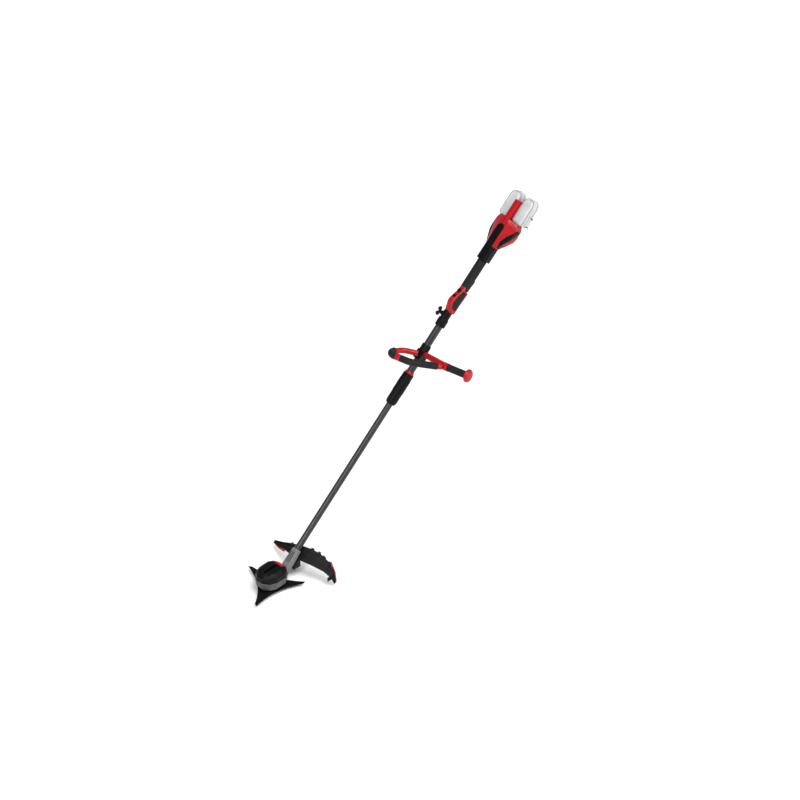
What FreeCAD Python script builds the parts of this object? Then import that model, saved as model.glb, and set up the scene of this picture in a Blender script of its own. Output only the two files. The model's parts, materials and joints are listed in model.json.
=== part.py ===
"""Cordless brush cutter and string trimmer: motor in the head, telescopic split shaft, two batteries.

Millimetres. +Z is up along the blade spindle, and the origin is the middle of the glide cup's
bottom face. The shaft rises over +X towards the operator, and +Y is the operator's right.
Shaft pieces are drawn in the shaft frame: x runs along the shaft axis from where that axis meets
the blade's plane, y is the same, and z is square to the shaft, on its upper side.
"""
import FreeCAD, Part
import math
import os

V = FreeCAD.Vector

# Clearances
seat_gap = 0.1          # between fixed pieces whose curved faces sit on each other
slide_gap = 0.3         # between pieces on different bodies
bearing_gap = 0.05      # radial, spindle in its bearings and pivots in their holes
pilot_gap = 0.1         # radial, tool parts on the spindle

# Head, measured from the blade's mid-plane
cup_height = 12.0
cup_radius = 32.0
cup_wall = 3.0
cup_mouth_radius = 13.0
washer_thickness = 3.0
washer_radius = 24.0
blade_thickness = 2.0
blade_radius = 129.0
blade_valley_radius = 46.0
blade_tip_width = 17.0
blade_phase = -37.5
blade_arms = 3
arbor_radius = 5.0
flange_radius = 25.0
flange_thickness = 8.0
nut_across_flats = 17.0
nut_height = 6.0
head_gap = 2.0          # flange to housing floor, and housing parting line
housing_height = 34.0
cover_height = 31.0
head_front = 55.0
head_back = 66.0
head_half_width = 50.0
head_wall = 3.0
rotor_radius = 24.0
stator_radius = 38.0
stator_height = 20.0
bearing_radius = 13.0
bearing_width = 8.0
clip_length = 38.0
screw_boss_radius = 4.0
cable_room_radius = 5.0

# Shaft
shaft_foot_x = 38.0
shaft_angle = 42.0
upper_tube_radius = 14.0
upper_tube_wall = 1.7
lower_tube_radius = upper_tube_radius - upper_tube_wall - slide_gap
lower_tube_wall = 1.5
neck_end = 131.0
neck_half_width = 16.0
neck_half_height = 15.0
lower_tube_start = 72.0
lower_tube_end = 960.0
sleeve_start = 753.0
sleeve_end = 881.0
sleeve_radius = 20.5
sleeve_nose = 32.0
lock_ring_length = 11.0
upper_tube_start = 800.0

# Loop handle
loop_station = 973.0
loop_lean = 28.0
loop_dip = 11.0          # how far the corner of the loop sits down the shaft
loop_frame_radius = 10.6
loop_grip_radius = 13.0
clamp_length = 36.0
clamp_collar_length = 25.0
clamp_radius = 18.0
hub_out = 108.0
hub_rise = -6.0
bar_sweep = 10.0
bar_radius = 9.0
bar_grip_radius = 14.0
bar_grip_length = 88.0
bar_cap_radius = 25.0
bar_cap_thickness = 12.0

# Handle unit
coupler_start = 1085.0
coupler_sleeve_length = 32.0
coupler_end = 1147.0
coupler_sleeve_radius = 19.5
coupler_body_radius = 16.5
knob_station = 1131.0
trigger_housing_length = 106.0
trigger_housing_half_width = 20.5
inlay_depth = 1.6
shell_wall = 3.0
grip_start = 1238.0
grip_end = 1369.0
grip_radius = 17.5
grip_drop = 8.0
grip_core_radius = 14.0
grip_core_bore = 10.5
collar_end = 1430.0
battery_face = 1545.0
battery_half_width = 52.0
spine_end = 1621.0
spine_half_width = 8.5
spine_top = 13.0
pack_length = 104.0
pack_thickness = 49.0
pack_top = -3.0
pack_bottom = -60.0
pack_corner = 13.0
rail_reach = 5.0
latch_travel = 3.0
speed_radius = 6.0
lockout_radius = 7.0
panel_half_width = 15.0
# Each vent arm, seen from the side: distance past the collar, and height
vent_outline = ((2.0, -19.0), (2.0, 0.0), (28.0, 5.0), (56.0, 1.0), (90.0, -12.0), (97.0, -24.0),
                (93.0, -38.0),
                (84.0, -37.0), (57.0, -20.0), (28.0, -11.0))
trigger_pivot_x = 1247.0
trigger_pivot_z = -19.0
trigger_pivot_radius = 2.0
ear_outer = 11.0
pack_middle = (pack_top + pack_bottom) / 2
pack_start = battery_face + 1.0
spine_root = battery_face - 26.0

# Guard
guard_thickness = 4.0
# Distance from the middle plane, then the front-lower edge (x, z) and the rear-upper edge (x, z)
guard_stations = (
    (156.0, (167.0, 6.0), (174.0, 12.0)), (112.0, (154.0, 16.0), (172.0, 31.0)),
    (72.0, (142.0, 36.0), (170.0, 53.0)), (30.0, (128.0, 50.0), (164.0, 76.0)),
    (0.0, (126.0, 53.0), (165.0, 86.0)), (-30.0, (130.0, 53.0), (177.0, 84.0)),
    (-65.0, (142.0, 49.0), (189.0, 76.0)), (-110.0, (160.0, 36.0), (194.0, 57.0)),
    (-138.0, (167.0, 22.0), (190.0, 30.0)), (-156.0, (170.0, 0.0), (180.0, 6.0)))

# Heights that follow from the stack on the spindle
blade_z = cup_height + washer_thickness + blade_thickness / 2
flange_z = blade_z + blade_thickness / 2
housing_z = flange_z + flange_thickness + head_gap
cover_z = housing_z + housing_height
head_top = cover_z + cover_height
SHAFT = FreeCAD.Placement(V(shaft_foot_x, 0, blade_z), FreeCAD.Rotation(V(0, 1, 0), -shaft_angle))

os.makedirs("parts", exist_ok=True)


def save(name, *shapes):
    """Write one node; several shapes become one group of separate solids."""
    shape = shapes[0] if len(shapes) == 1 else Part.makeCompound(list(shapes))
    shape.exportStep("parts/" + name + ".step")


def save_on_shaft(name, *shapes):
    """Write one node whose shapes are drawn in the shaft frame."""
    save(name, *[shaft_solid(shape) for shape in shapes])


def shaft_solid(shape):
    """A copy of a shaft-frame shape, placed in the frame of the head."""
    placed = shape.copy()
    placed.Placement = SHAFT.multiply(shape.Placement)
    return placed


def rod(radius, x0, x1, y=0.0, z=0.0):
    return Part.makeCylinder(radius, x1 - x0, V(x0, y, z), V(1, 0, 0))


def pipe(outer, inner, x0, x1, y=0.0, z=0.0):
    return rod(outer, x0, x1, y, z).cut(rod(inner, x0 - 1, x1 + 1, y, z))


def post(radius, z0, z1, x=0.0, y=0.0):
    return Part.makeCylinder(radius, z1 - z0, V(x, y, z0))


def ring(outer, inner, z0, z1, x=0.0, y=0.0):
    return post(outer, z0, z1, x, y).cut(post(inner, z0 - 1, z1 + 1, x, y))


def block(x0, x1, y0, y1, z0, z1):
    return Part.makeBox(x1 - x0, y1 - y0, z1 - z0, V(x0, y0, z0))


def half(shape, side):
    """The part of a shape on one side of the y = 0 plane: side is +1 or -1."""
    reach = 4000.0
    y0, y1 = (0.0, reach) if side > 0 else (-reach, 0.0)
    return shape.common(block(-reach, reach, y0, y1, -reach, reach))


def closed_wire(points, radius):
    """A closed outline through the points, with every corner rounded by an arc."""
    edges = []
    corners = []
    count = len(points)
    for index, corner in enumerate(points):
        before = (points[index - 1] - corner).normalize()
        after = (points[(index + 1) % count] - corner).normalize()
        half_angle = before.getAngle(after) / 2
        reach = radius / math.tan(half_angle)
        bisector = (before + after).normalize()
        middle = corner + bisector * (radius / math.sin(half_angle) - radius)
        corners.append((corner + before * reach, middle, corner + after * reach))
    for index, (first, middle, last) in enumerate(corners):
        edges.append(Part.Arc(first, middle, last).toShape())
        edges.append(Part.LineSegment(last, corners[(index + 1) % count][0]).toShape())
    return Part.Wire(edges)


def path_wire(points, radii):
    """An open path of straight runs joined by tangent arcs, one radius for each inner point."""
    edges = []
    start = points[0]
    for index, radius in enumerate(radii):
        corner = points[index + 1]
        before = (points[index] - corner).normalize()
        after = (points[index + 2] - corner).normalize()
        half_angle = before.getAngle(after) / 2
        reach = radius / math.tan(half_angle)
        bisector = (before + after).normalize()
        middle = corner + bisector * (radius / math.sin(half_angle) - radius)
        edges.append(Part.LineSegment(start, corner + before * reach).toShape())
        edges.append(Part.Arc(corner + before * reach, middle, corner + after * reach).toShape())
        start = corner + after * reach
    edges.append(Part.LineSegment(start, points[-1]).toShape())
    return Part.Wire(edges)


def swept_rod(points, radii, radius):
    path = path_wire(points, radii)
    circle = Part.Wire([Part.makeCircle(radius, points[0], points[1] - points[0])])
    return path.makePipeShell([circle], True, False)


def mirrored(points):
    """Close a half outline given for +y by its mirror image, in order."""
    return points + [V(point.x, -point.y, point.z) for point in reversed(points)]


def section(x, points, radius):
    """A rounded outline square to the shaft from (y, z) pairs on the +y side, top to bottom."""
    half_points = [V(x, y, z) for y, z in points]
    return closed_wire(mirrored(half_points), radius)


def loft(wires, ruled=True):
    return Part.makeLoft(wires, True, ruled)


def head_outline(z, scale, inset=0.0):
    """The long octagon of the head, seen from above."""
    middle_x = (head_back - head_front) / 2
    corners = ((-head_front, 16.0), (-head_front + 17.0, 40.0), (-12.0, head_half_width),
               (head_back - 32.0, head_half_width), (head_back - 10.0, 36.0), (head_back, 16.0))
    factor = scale - inset / head_half_width
    points = [V(middle_x + (x - middle_x) * factor, y * factor, z) for x, y in corners]
    return closed_wire(mirrored(points), 9.0)


# ---------------------------------------------------------------- cutting head

def blade_solid():
    half_tip = math.degrees(math.asin(blade_tip_width / 2 / blade_radius))
    pitch = 360.0 / blade_arms

    def at(radius, angle):
        turn = math.radians(angle)
        return V(radius * math.cos(turn), radius * math.sin(turn), blade_z - blade_thickness / 2)

    edges = []
    for arm in range(blade_arms):
        angle = blade_phase + arm * pitch
        leading = at(blade_radius - 11.0, angle - half_tip)
        trailing = at(blade_radius, angle + half_tip * 0.4)
        next_leading = at(blade_radius - 11.0, angle + pitch - half_tip)
        valley = at(blade_valley_radius, angle + pitch / 2)
        edges.append(Part.LineSegment(leading, trailing).toShape())
        edges.append(Part.Arc(trailing, valley, next_leading).toShape())
    plate = Part.Face(Part.Wire(edges)).extrude(V(0, 0, blade_thickness))
    return plate.cut(post(arbor_radius + pilot_gap, 0, blade_z + flange_thickness))


def hex_nut(across_flats, bore, z0, z1):
    corner = across_flats / math.sqrt(3)
    points = [V(corner * math.cos(math.radians(60 * i)), corner * math.sin(math.radians(60 * i)), z0)
              for i in range(7)]
    return Part.Face(Part.makePolygon(points)).extrude(V(0, 0, z1 - z0)).cut(post(bore, z0 - 1, z1 + 1))


def build_cutter():
    bore = arbor_radius + pilot_gap
    save("blade", blade_solid())
    save("clamp_washer", ring(washer_radius, bore, cup_height, cup_height + washer_thickness))
    bowl = Part.makeCone(cup_radius * 0.55, cup_radius, cup_height)
    hollow = post(cup_mouth_radius, -1, cup_height - cup_wall)
    save("glide_cup", bowl.cut(hollow).cut(post(bore, -1, cup_height + 1)))
    nut_top = cup_height - cup_wall
    save("blade_nut", hex_nut(nut_across_flats, bore, nut_top - nut_height, nut_top))
    save("upper_flange", ring(flange_radius, bore, flange_z, flange_z + flange_thickness))
    spindle_top = cover_z + bearing_width + 8.0
    save("spindle", post(arbor_radius, 1.5, spindle_top))
    rotor_z = housing_z + 10.0
    save("rotor", ring(rotor_radius, bore, rotor_z, rotor_z + stator_height))


def screw_places():
    """Bosses that carry the motor bracket, clear of the stator at the head's four corners."""
    return [(x, side * 29.0) for x in (-33.0, 40.0) for side in (-1, 1)]


def bearing_seats():
    """Lower bearing on the housing floor, upper bearing in the bracket under the cover."""
    return ((housing_z, housing_z + bearing_width), (cover_z + 3.0, cover_z + 3.0 + bearing_width))


def housing_outer():
    return loft([head_outline(housing_z, 0.86), head_outline(housing_z + 8.0, 0.96),
                 head_outline(cover_z, 1.0)])


def build_head():
    outer = housing_outer()
    inner = loft([head_outline(housing_z + head_wall, 0.86, head_wall),
                  head_outline(housing_z + 8.0 + head_wall, 0.96, head_wall),
                  head_outline(cover_z + 0.01, 1.0, head_wall)])
    boss = post(bearing_radius + 4.0, housing_z, housing_z + bearing_width)
    floor_hole = post(bearing_radius + seat_gap, housing_z - 1, cover_z)
    housing = outer.cut(inner).fuse(boss)
    for x, y in screw_places():
        housing = housing.fuse(post(screw_boss_radius, housing_z + 1.0, cover_z, x, y).common(outer))
    housing = housing.cut(floor_hole).cut(shaft_solid(rod(cable_room_radius, 10.0, neck_end)))
    save("motor_housing", housing.removeSplitter())

    (low0, low1), (high0, high1) = bearing_seats()
    bore = arbor_radius + bearing_gap
    save("spindle_bearings", ring(bearing_radius, bore, low0, low1),
         ring(bearing_radius, bore, high0, high1))

    stator_z = housing_z + 10.0
    stator = ring(stator_radius, rotor_radius + 0.5, stator_z, stator_z + stator_height)
    for index in range(12):
        turn = math.radians(30 * index + 15)
        middle = (stator_radius + rotor_radius) / 2 + 1.5
        slot = post(3.4, stator_z - 1, stator_z + stator_height + 1, middle * math.cos(turn),
                    middle * math.sin(turn))
        stator = stator.cut(slot)
    save("stator", stator)

    floor = cover_z
    plate = loft([head_outline(floor, 0.86), head_outline(floor + 3.0, 0.86)])
    carrier = post(bearing_radius + 4.0, floor, high1)
    legs = ring(stator_radius + 2.0, stator_radius - 4.0, stator_z + stator_height, floor)
    seat = post(bearing_radius + seat_gap, high0, high1 + 1)
    bracket = plate.fuse(carrier).fuse(legs).cut(seat).cut(post(arbor_radius + 2.0, 0, head_top))
    save("motor_bracket", bracket.removeSplitter())

    cover_levels = ((cover_z, 0.96), (cover_z + 16.0, 0.93), (head_top - 6.0, 0.80), (head_top, 0.62))
    shell = loft([head_outline(z, scale) for z, scale in cover_levels])
    hollow = loft([head_outline(z - (0.0 if z == cover_z else head_wall), scale, head_wall)
                   for z, scale in cover_levels])
    recess = block(-32.0, 34.0, -7.0, 7.0, head_top - 1.2, head_top + 1)
    clip_x = middle_of_clip()
    clip_slot = block(clip_x - 6.0, head_back + 5.0, -clip_length / 2, clip_length / 2, head_top - 14.0,
                      head_top + 1)
    save("motor_cover", shell.cut(hollow).cut(recess).cut(clip_slot))
    clip_gap = seat_gap
    clip = block(clip_x - 6.0 + clip_gap, head_back + 5.0, -clip_length / 2 + clip_gap,
                 clip_length / 2 - clip_gap, head_top - 14.0, head_top + 1)
    save("cover_clip", clip.common(shell))


def middle_of_clip():
    return head_back - 22.0


def neck_solid(inset=0.0):
    wide, high = neck_half_width - inset, neck_half_height - inset
    def outline(x, side, top, bottom):
        return section(x, ((side * 0.72, top), (side, top * 0.5), (side, bottom * 0.5),
                           (side * 0.72, bottom)), 3.0)
    return loft([outline(16.0, wide + 5.0, high + 1.0, -high - 3.0),
                 outline(60.0, wide + 1.5, high, -high - 2.0),
                 outline(neck_end, wide - 1.0, high - 1.0, -high + 1.0)])


def build_neck():
    head_block = loft([head_outline(housing_z - 30.0, 1.0), head_outline(cover_z, 1.0)])
    cover_block = loft([head_outline(cover_z, 0.98), head_outline(head_top + 5.0, 0.98)])
    socket = rod(lower_tube_radius + seat_gap, lower_tube_start, neck_end + 1)
    body = shaft_solid(neck_solid().cut(socket).cut(rod(cable_room_radius, 0, neck_end)))
    body = body.cut(head_block).cut(cover_block)
    slots = [shaft_solid(block(74.0, 118.0, y - 1.6, y + 1.6, neck_half_height - 2.5, neck_half_height + 5))
             for y in (-7.5, 0.0, 7.5)]
    for slot in slots:
        body = body.cut(slot)
    save("neck_left", half(body, -1))
    save("neck_right", half(body, 1))


def guard_edges(station):
    y, front, back = station
    return V(front[0], y, blade_z + front[1]), V(back[0], y, blade_z + back[1])


def guard_band(station, low_share, high_share, lift, depth):
    """A slanted rectangle in the plane of one station, between two shares of the guard's width."""
    front, back = guard_edges(station)
    across = back - front
    normal = V(-across.z, 0, across.x).normalize()
    low, high = front + across * low_share, front + across * high_share
    points = [low + normal * lift, high + normal * lift, high + normal * (lift - depth),
              low + normal * (lift - depth)]
    return Part.makePolygon(points + points[:1])


def build_guard():
    skirt = loft([guard_band(station, 0.0, 1.0, 0.0, guard_thickness) for station in guard_stations])
    tube_room = shaft_solid(rod(lower_tube_radius + 1.5, 0, 400.0))
    neck_room = shaft_solid(block(-50.0, neck_end + 4.0, -neck_half_width - 8.0, neck_half_width + 8.0,
                                  -neck_half_height - 2.1, 90.0))
    front, _back = guard_edges(guard_stations[4])
    lug = block(front.x - 20.0, front.x + 12.0, -15.0, 15.0, blade_z + 16.0, front.z + 4.0)
    guard = skirt.fuse(lug).cut(tube_room).cut(neck_room)
    save("guard", biggest(guard.removeSplitter()))

    left = loft([guard_band(station, -0.22, 0.0, 0.5,
                            guard_thickness + 1.0) for station in guard_stations[:3]])
    right = loft([guard_band(station, 1.0, 1.18, 0.5,
                             guard_thickness + 1.0) for station in guard_stations[-3:]])
    save("guard_trims", *[biggest(trim.cut(skirt)) for trim in (left, right)])
    front, back = guard_edges(guard_stations[-2])
    cutter = block(front.x - 12.0, front.x + 8.0, front.y - 1.0, front.y + 1.0, front.z - 14.0,
                   front.z + 4.0)
    save("line_cutter", biggest(cutter.cut(skirt)))


# ---------------------------------------------------------------- shaft

def build_shaft():
    inner = lower_tube_radius - lower_tube_wall
    save_on_shaft("lower_tube", pipe(lower_tube_radius, inner, lower_tube_start, lower_tube_end))
    bore = lower_tube_radius + slide_gap
    save_on_shaft("upper_tube", pipe(upper_tube_radius, bore, upper_tube_start, coupler_end - 3.0))

    lock_radius = sleeve_radius - 2.2
    seat = upper_tube_radius + seat_gap
    lock = pipe(lock_radius, seat, upper_tube_start, sleeve_end - seat_gap)
    save_on_shaft("lock_body", lock)
    collet = Part.makeCone(lower_tube_radius + 2.0, lock_radius, 13.0,
                           V(sleeve_start + sleeve_nose + 1.0, 0, 0), V(1, 0, 0))
    collet = collet.cut(rod(bore, 0, lower_tube_end))
    collet = collet.cut(block(0, lower_tube_end, -1.0, 1.0, 0, 40.0))
    save_on_shaft("lock_collet", collet)

    body = Part.makeCone(sleeve_radius - 4.0, sleeve_radius, 10.0, V(sleeve_start, 0, 0), V(1, 0, 0))
    body = body.fuse(rod(sleeve_radius, sleeve_start + 10.0, sleeve_end))
    body = body.cut(rod(bore, 0, 2000.0)).cut(rod(lock_radius + slide_gap, sleeve_start + sleeve_nose,
                                                  2000.0))
    save_on_shaft("twist_sleeve", body.removeSplitter())

    start = sleeve_end + slide_gap
    ring_body = Part.makeCone(sleeve_radius - 1.2, upper_tube_radius + 1.0, lock_ring_length,
                              V(start, 0, 0), V(1, 0, 0))
    save_on_shaft("lock_ring", ring_body.cut(rod(seat, 0, 2000.0)))


# ---------------------------------------------------------------- loop handle

def loop_point(y, height, forward=0.0):
    lean = math.radians(loop_lean)
    return V(loop_station - forward - height * math.sin(lean), y, height * math.cos(lean))


def between(first, last, share):
    return first + (last - first) * share


def build_loop():
    foot, knee = loop_point(0, 24.0), loop_point(44, 52.0, loop_dip * 0.5)
    corner = loop_point(67, 124.0, loop_dip)
    shoulder, hub = loop_point(-42, 104.0), loop_point(-hub_out, hub_rise + 16.0)
    knee_r, corner_r, shoulder_r = 42.0, 24.0, 60.0
    frame = swept_rod([foot, knee, corner, shoulder, hub], [knee_r, corner_r, shoulder_r],
                      loop_frame_radius)

    # A wide red band, and two soft grips round the frame on either side of it
    split_in = between(corner, shoulder, 0.44)
    split_out = between(corner, shoulder, 0.60)
    low = between(knee, corner, 0.55)
    far = between(shoulder, hub, 0.86)
    hollow = loop_frame_radius + seat_gap
    band_reach = (split_out - split_in)
    band = Part.makeCylinder(loop_grip_radius, band_reach.Length, split_in, band_reach)
    frame = frame.fuse(band)
    corner_grip = swept_rod([low, corner, split_in], [corner_r], loop_grip_radius)
    corner_grip = corner_grip.cut(swept_rod([low, corner, split_in], [corner_r], hollow))
    main_grip = swept_rod([split_out, shoulder, far], [shoulder_r], loop_grip_radius)
    main_grip = main_grip.cut(swept_rod([split_out, shoulder, far], [shoulder_r], hollow))

    # The hub carries the bar core outwards and the link back to the clamp
    sweep = math.radians(bar_sweep)
    outwards = V(math.sin(sweep), -math.cos(sweep), 0)
    hub_centre = loop_point(-hub_out, hub_rise)
    grip_start_point = hub_centre + outwards * 18.0
    grip_end_point = grip_start_point + outwards * bar_grip_length
    knuckle = Part.makeSphere(15.0, hub_centre)
    core = Part.makeCylinder(bar_radius, 18.0 + bar_grip_length + bar_cap_thickness * 0.4, hub_centre,
                             outwards)
    mouth = Part.makeCylinder(15.0, 18.0, hub_centre, outwards)
    clamp_side = V(loop_station - 2.0, -clamp_radius + 4.0, 2.0)
    link = Part.makeCone(14.0, 10.0, (clamp_side - hub_centre).Length, hub_centre, clamp_side - hub_centre)
    hub_body = knuckle.fuse(core).fuse(mouth).fuse(link)

    clamp_start = loop_station - 30.0
    clamp_mid = clamp_start + clamp_length
    clamp_end = clamp_mid + clamp_collar_length
    bore = rod(upper_tube_radius + slide_gap, 0, 2000.0)
    lower = block(clamp_start, clamp_mid, -15.0, 15.0, -clamp_radius - 6.0, 0.0)
    lower = lower.fuse(rod(clamp_radius, clamp_mid, clamp_end).common(block(0, 2000, -50, 50, -50, 0)))
    cap = block(clamp_start, clamp_mid, -15.0, 15.0, 0.0, clamp_radius)
    cap = cap.fuse(rod(clamp_radius, clamp_mid, clamp_end).common(block(0, 2000, -50, 50, 0, 50)))
    lower, cap = lower.cut(bore).removeSplitter(), cap.cut(bore).removeSplitter()
    hub_body = hub_body.cut(lower).cut(cap).cut(bore)
    frame = frame.cut(hub_body).cut(cap).cut(bore)
    main_grip = main_grip.cut(hub_body)
    save_on_shaft("loop_frame", biggest(frame))
    save_on_shaft("loop_grips", biggest(corner_grip), biggest(main_grip))
    save_on_shaft("loop_hub", biggest(hub_body))
    save_on_shaft("clamp_base", lower)
    save_on_shaft("clamp_cap", cap)

    grip = Part.makeCylinder(bar_grip_radius, bar_grip_length, grip_start_point, outwards)
    grip = grip.cut(Part.makeCylinder(bar_radius + seat_gap, bar_grip_length + 2,
                                      grip_start_point - outwards, outwards))
    save_on_shaft("bar_grip", grip)
    rim = Part.makeCylinder(bar_cap_radius, bar_cap_thickness * 0.5, grip_end_point, outwards)
    dome = Part.makeCone(bar_cap_radius, bar_cap_radius * 0.5, bar_cap_thickness * 0.5,
                         grip_end_point + outwards * bar_cap_thickness * 0.5, outwards)
    pocket = Part.makeCylinder(bar_radius + seat_gap, bar_cap_thickness * 0.4 + 1 + seat_gap,
                               grip_end_point - outwards, outwards)
    save_on_shaft("bar_cap", rim.fuse(dome).cut(pocket).removeSplitter())

    screws = [Part.makeCylinder(4.0, 3.0, V(clamp_start + 9.0, y, -clamp_radius - 6.0), V(0, 0, -1))
              for y in (-8.0, 8.0)]
    save_on_shaft("clamp_screws", *screws)


def biggest(shape):
    return max(shape.Solids, key=lambda solid: solid.Volume)


# ---------------------------------------------------------------- handle unit

def trigger_profile(x, top, bottom, side):
    return section(x, ((side * 0.45, top), (side * 0.74, top - (top - bottom) * 0.26), (side, bottom + 8.0),
                       (side * 0.66, bottom)), 3.0)


def trigger_housing_solid(inset=0.0):
    start = coupler_end + inset * 0.4
    side = trigger_housing_half_width - inset
    rows = ((start, 13.0, -18.0, side), (start + 38.0, 33.0, -19.0, side),
            (start + 48.0, 31.0, -20.0, side),
            (start + 84.0, 13.0, -24.0, side - 0.5),
            (start + trigger_housing_length, 10.5, -25.0, side - 2.0))
    return loft([trigger_profile(x, top - inset, bottom + inset, wide) for x, top, bottom, wide in rows])


def build_coupler():
    bore = rod(upper_tube_radius + slide_gap, 0, coupler_end - 2.0)
    sleeve = rod(coupler_sleeve_radius, coupler_start, coupler_start + coupler_sleeve_length)
    save_on_shaft("coupler_sleeve", sleeve.cut(bore))
    x0 = coupler_start + coupler_sleeve_length
    body = rod(coupler_body_radius, x0, coupler_end)
    lug = Part.makeCylinder(9.0, 20.0, V(knob_station, 0, 0), knob_axis())
    body = body.fuse(lug).cut(bore)
    stud_hole = Part.makeCylinder(3.0 + bearing_gap, 60.0, V(knob_station, 0, 0), knob_axis())
    save_on_shaft("coupler_body", body.cut(stud_hole).removeSplitter())
    stud = Part.makeCylinder(3.0, 15.0, V(knob_station, 0, 0) + knob_axis() * 15.5, knob_axis())
    save_on_shaft("coupler_stud", stud)
    base = V(knob_station, 0, 0) + knob_axis() * 20.3
    hub = Part.makeCylinder(7.0, 12.0, base, knob_axis())
    across = V(1, 0, 0)
    wing = Part.makeBox(30.0, 5.0, 13.0)
    wing.Placement = FreeCAD.Placement(V(0, 0, 0),
                                       FreeCAD.Rotation(across, knob_axis().cross(across), knob_axis(),
                                                        "XYZ"))
    offset = base + knob_axis() * 7.0 - across * 15.0 - knob_axis().cross(across) * 2.5
    wing.translate(offset)
    hole = Part.makeCylinder(3.0 + bearing_gap, 12.0, base - knob_axis(), knob_axis())
    save_on_shaft("wing_knob", hub.fuse(wing).cut(hole).removeSplitter())


def knob_axis():
    tilt = math.radians(12.0)
    return V(0, math.cos(tilt), math.sin(tilt))


def trigger_slot(grow=0.0):
    return block(grip_start + 3.0 - grow, grip_start + 56.0 + grow, -7.0 - grow, 7.0 + grow, -60.0,
                 -grip_drop - 3.0)


def build_trigger_group():
    shell = trigger_housing_solid().cut(trigger_housing_solid(shell_wall))
    core_start = coupler_end + 40.0
    core_room = rod(grip_core_radius + seat_gap, core_start - 1.0, grip_end, 0, -grip_drop)
    tube_room = rod(upper_tube_radius + 1.0, 1100.0, coupler_end + 2.0)
    shell = shell.cut(core_room).cut(tube_room)
    for place, radius in ((speed_button_place(), speed_radius), (lockout_place(), lockout_radius)):
        shell = shell.cut(Part.makeCylinder(radius + slide_gap, 60.0, place[0] - place[1] * 20.0, place[1]))
    cut_back = block(grip_start, 1400.0, -60.0, 60.0, -60.0, grip_drop * 0.2)
    shell = shell.cut(cut_back)
    pocket_floor = trigger_housing_solid(inlay_depth)
    inlays = []
    for side in (-1, 1):
        outline = [V(coupler_end + 11.0, 0, -7.0), V(coupler_end + 15.0, 0, 13.0),
                   V(coupler_end + 37.0, 0, 26.0),
                   V(grip_start - 24.0, 0, 17.0), V(grip_start - 1.0, 0, 6.0),
                   V(grip_start - 3.0, 0, -11.0),
                   V(coupler_end + 50.0, 0, -9.0)]
        wire = closed_wire(outline, 3.0)
        slab = Part.Face(wire).extrude(V(0, side * 60.0, 0))
        slab = slab.common(trigger_housing_solid()).cut(pocket_floor)
        inlays.append(biggest(slab))
        shell = shell.cut(slab)
    save_on_shaft("trigger_housing_left", biggest(half(shell, -1)))
    save_on_shaft("trigger_housing_right", biggest(half(shell, 1)))
    save_on_shaft("grip_inlays", *inlays)

    core_end = collar_end + 22.0
    core = pipe(grip_core_radius, grip_core_bore, core_start, core_end, 0, -grip_drop)
    for side in (-1, 1):
        core = core.fuse(trigger_ear(side))
    pivot_hole = Part.makeCylinder(trigger_pivot_radius + bearing_gap, 60.0,
                                   V(trigger_pivot_x, -30.0, trigger_pivot_z), V(0, 1, 0))
    save_on_shaft("grip_core", core.cut(trigger_slot(1.0)).cut(pivot_hole).removeSplitter())

    rubber = pipe(grip_radius, grip_core_radius + seat_gap, grip_start + seat_gap, grip_end, 0, -grip_drop)
    ear_room = block(trigger_pivot_x - 5.0, trigger_pivot_x + 5.0, -ear_outer - 0.6, ear_outer + 0.6,
                     -60.0, -12.0)
    place, axis = lockout_place()
    button_room = Part.makeCylinder(lockout_radius + slide_gap, 40.0, place - axis * 10.0, axis)
    rubber = rubber.cut(trigger_slot(1.0)).cut(ear_room).cut(trigger_housing_solid()).cut(button_room)
    save_on_shaft("rear_grip", biggest(rubber))

    build_trigger()
    place, axis = speed_button_place()
    button = Part.makeCylinder(speed_radius, 11.0, place - axis * 8.0, axis)
    save_on_shaft("speed_button", button)
    place, axis = lockout_place()
    button = Part.makeCylinder(lockout_radius, 7.8, place - axis * 2.8, axis)
    save_on_shaft("lockout_button", button)


def speed_button_place():
    slope = math.radians(-24.0)
    return V(coupler_end + 62.0, 0, 25.0), V(-math.sin(slope), 0, math.cos(slope))


def lockout_place():
    slope = math.radians(-20.0)
    return V(coupler_end + 86.0, 0, 14.0), V(-math.sin(slope), 0, math.cos(slope))


def trigger_ear(side):
    """The boss on one side of the slot that the trigger's trunnion turns in."""
    y0, y1 = sorted((side * 7.0, side * ear_outer))
    x, z = trigger_pivot_x, trigger_pivot_z
    return block(x - 4.5, x + 4.5, y0, y1, z - 4.0, -grip_drop - 2.0)


def build_trigger():
    """Finger lever under the grip, with round trunnions moulded on its pivot."""
    x, z = trigger_pivot_x, trigger_pivot_z
    outline = [V(x - 5.0, 0, z + 4.0), V(x + 38.0, 0, z + 2.0), V(x + 42.0, 0, z - 16.0),
               V(x + 26.0, 0, z - 15.0), V(x + 2.0, 0, z - 8.5), V(x - 5.0, 0, z - 5.0)]
    lever = Part.Face(closed_wire(outline, 2.0)).extrude(V(0, 13.0, 0))
    lever.translate(V(0, -6.5, 0))
    pin = Part.makeCylinder(trigger_pivot_radius, 21.0, V(x, -10.5, z), V(0, 1, 0))
    save_on_shaft("trigger", lever.fuse(pin).removeSplitter())
    carrier = block(x - 30.0, x - 6.0, -7.0, 7.0, z + 1.0, z + 13.0)
    save_on_shaft("trigger_switch", carrier.common(rod(grip_core_bore - 0.2, 1200, 1300, 0, -grip_drop)))


def battery_profile(x, half_top, top, half_width, shoulder, bottom, radius=6.0):
    return section(x, ((half_top, top), (half_width, shoulder), (half_width, bottom + 14.0),
                       (half_width - 14.0, bottom)), radius)


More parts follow.
